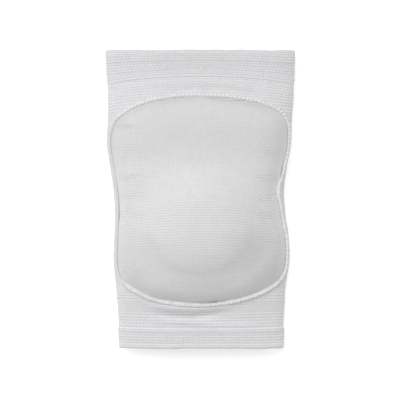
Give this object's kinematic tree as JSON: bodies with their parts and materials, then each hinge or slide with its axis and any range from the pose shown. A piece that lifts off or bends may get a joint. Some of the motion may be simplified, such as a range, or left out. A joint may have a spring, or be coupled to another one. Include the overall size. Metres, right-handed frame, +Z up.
{
  "type": "volleyball knee pad",
  "caption": "Pull-on volleyball knee pad: knitted sleeve with double cuffs and a domed foam pad under a knitted cover held by an overlocked seam.",
  "frame": {"origin": "on the floor under the middle of the whole knee pad as it lies on its back", "axes": "+Y along the leg from the calf end to the thigh end, +Z up through the pad's dome, +X to the right seen from above with the thigh end at the top"},
  "size_m": [0.137, 0.216, 0.0643],
  "materials": {
    "sleeve_knit": "white elastic rib knit with rows of raised tuck stitches",
    "cuff_knit": "white elastic knit turned double, with bands of raised tuck stitches",
    "pad_foam": "off-white closed-cell foam, hidden under the cover",
    "cover_knit": "white fine jersey knit stretched over foam",
    "seam_thread": "bright white overlock thread"
  },
  "bodies": {
    "root": {"sleeve": "sleeve_knit", "thigh_cuff": "cuff_knit", "calf_cuff": "cuff_knit", "foam_pad": "pad_foam", "pad_cover": "cover_knit", "cover_seam": "seam_thread"}
  },
  "joints": []
}
